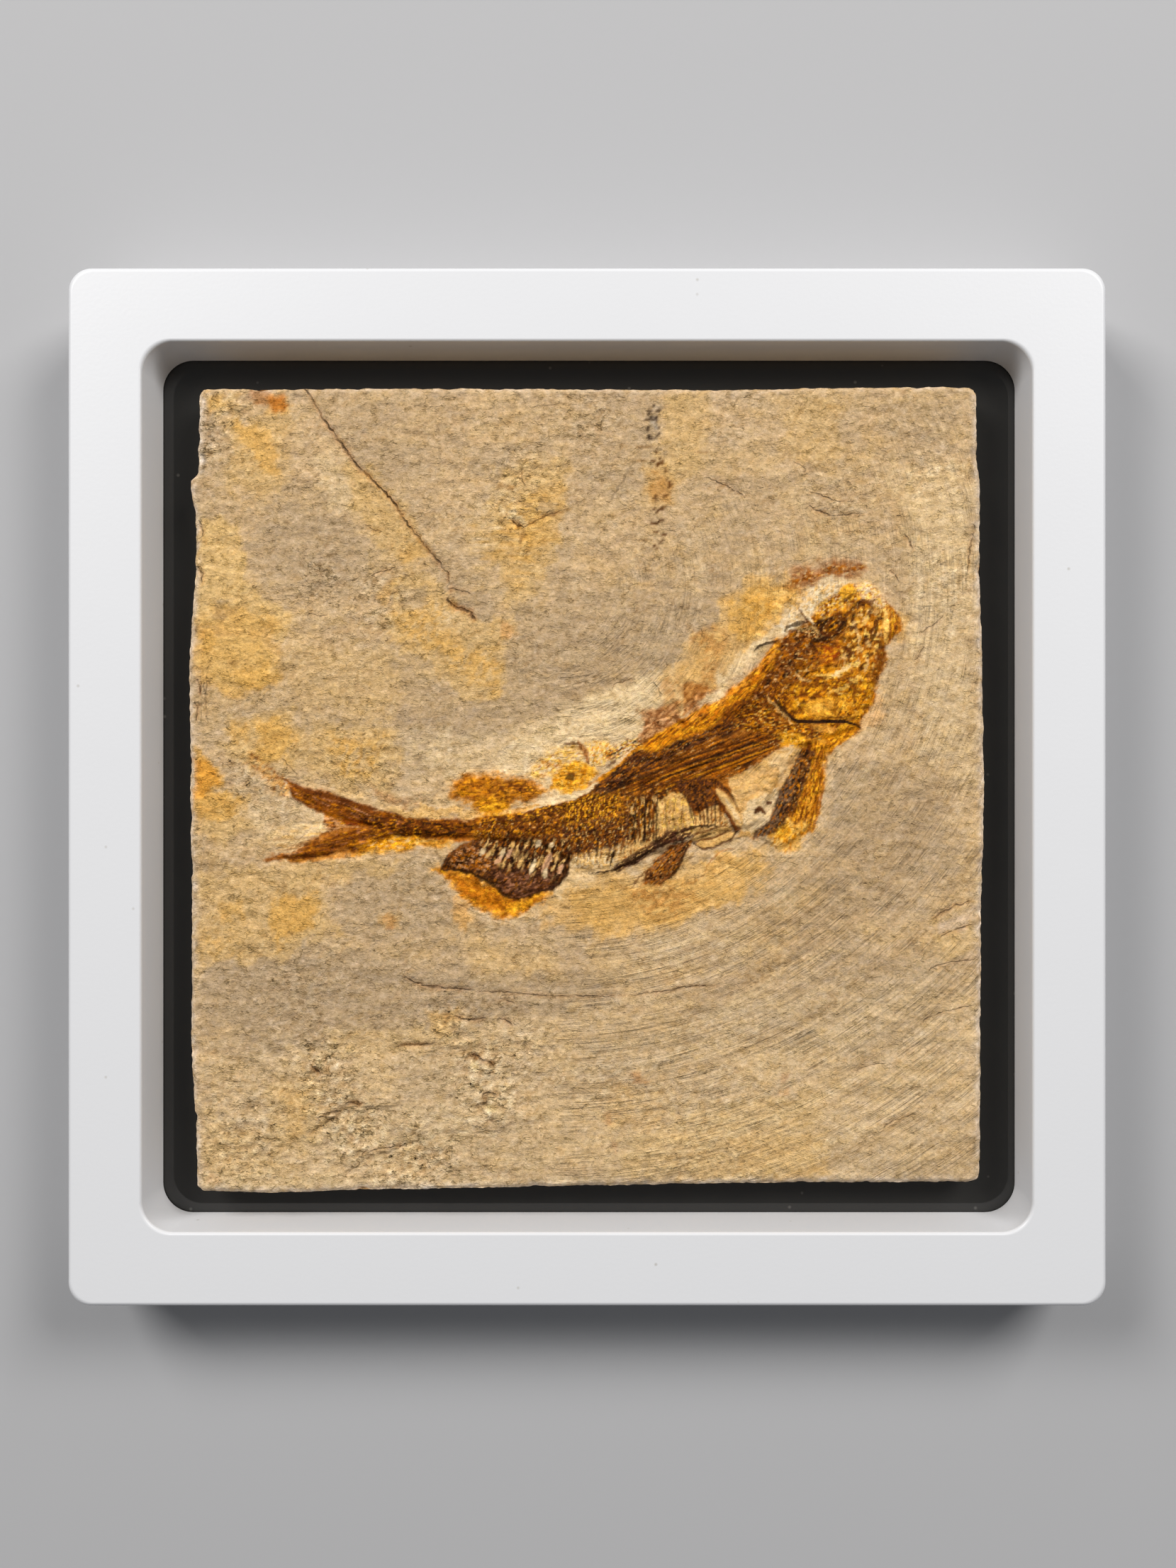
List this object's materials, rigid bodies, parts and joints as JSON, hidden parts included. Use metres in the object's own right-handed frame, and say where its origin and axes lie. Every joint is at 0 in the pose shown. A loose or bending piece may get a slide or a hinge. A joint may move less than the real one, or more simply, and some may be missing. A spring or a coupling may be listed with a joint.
{
  "type": "framed fossil fish slab",
  "caption": "Thin square shale slab with a fish fossil on its face, resting on a black plate inside a white two-part display frame.",
  "frame": {"origin": "middle of the frame's back, in the plane of its rear face", "axes": "+Z towards the viewer, out of the fossil's face; +Y up the picture; +X to the right"},
  "size_m": [0.18, 0.18, 0.02],
  "materials": {
    "stone": "rough, matt shale with orange-brown fossil",
    "plate": "gloss",
    "frame": "satin moulded"
  },
  "bodies": {
    "root": {"fish_slab": "stone", "backing_plate": "plate", "frame_front": "frame", "frame_back": "frame"}
  },
  "joints": []
}
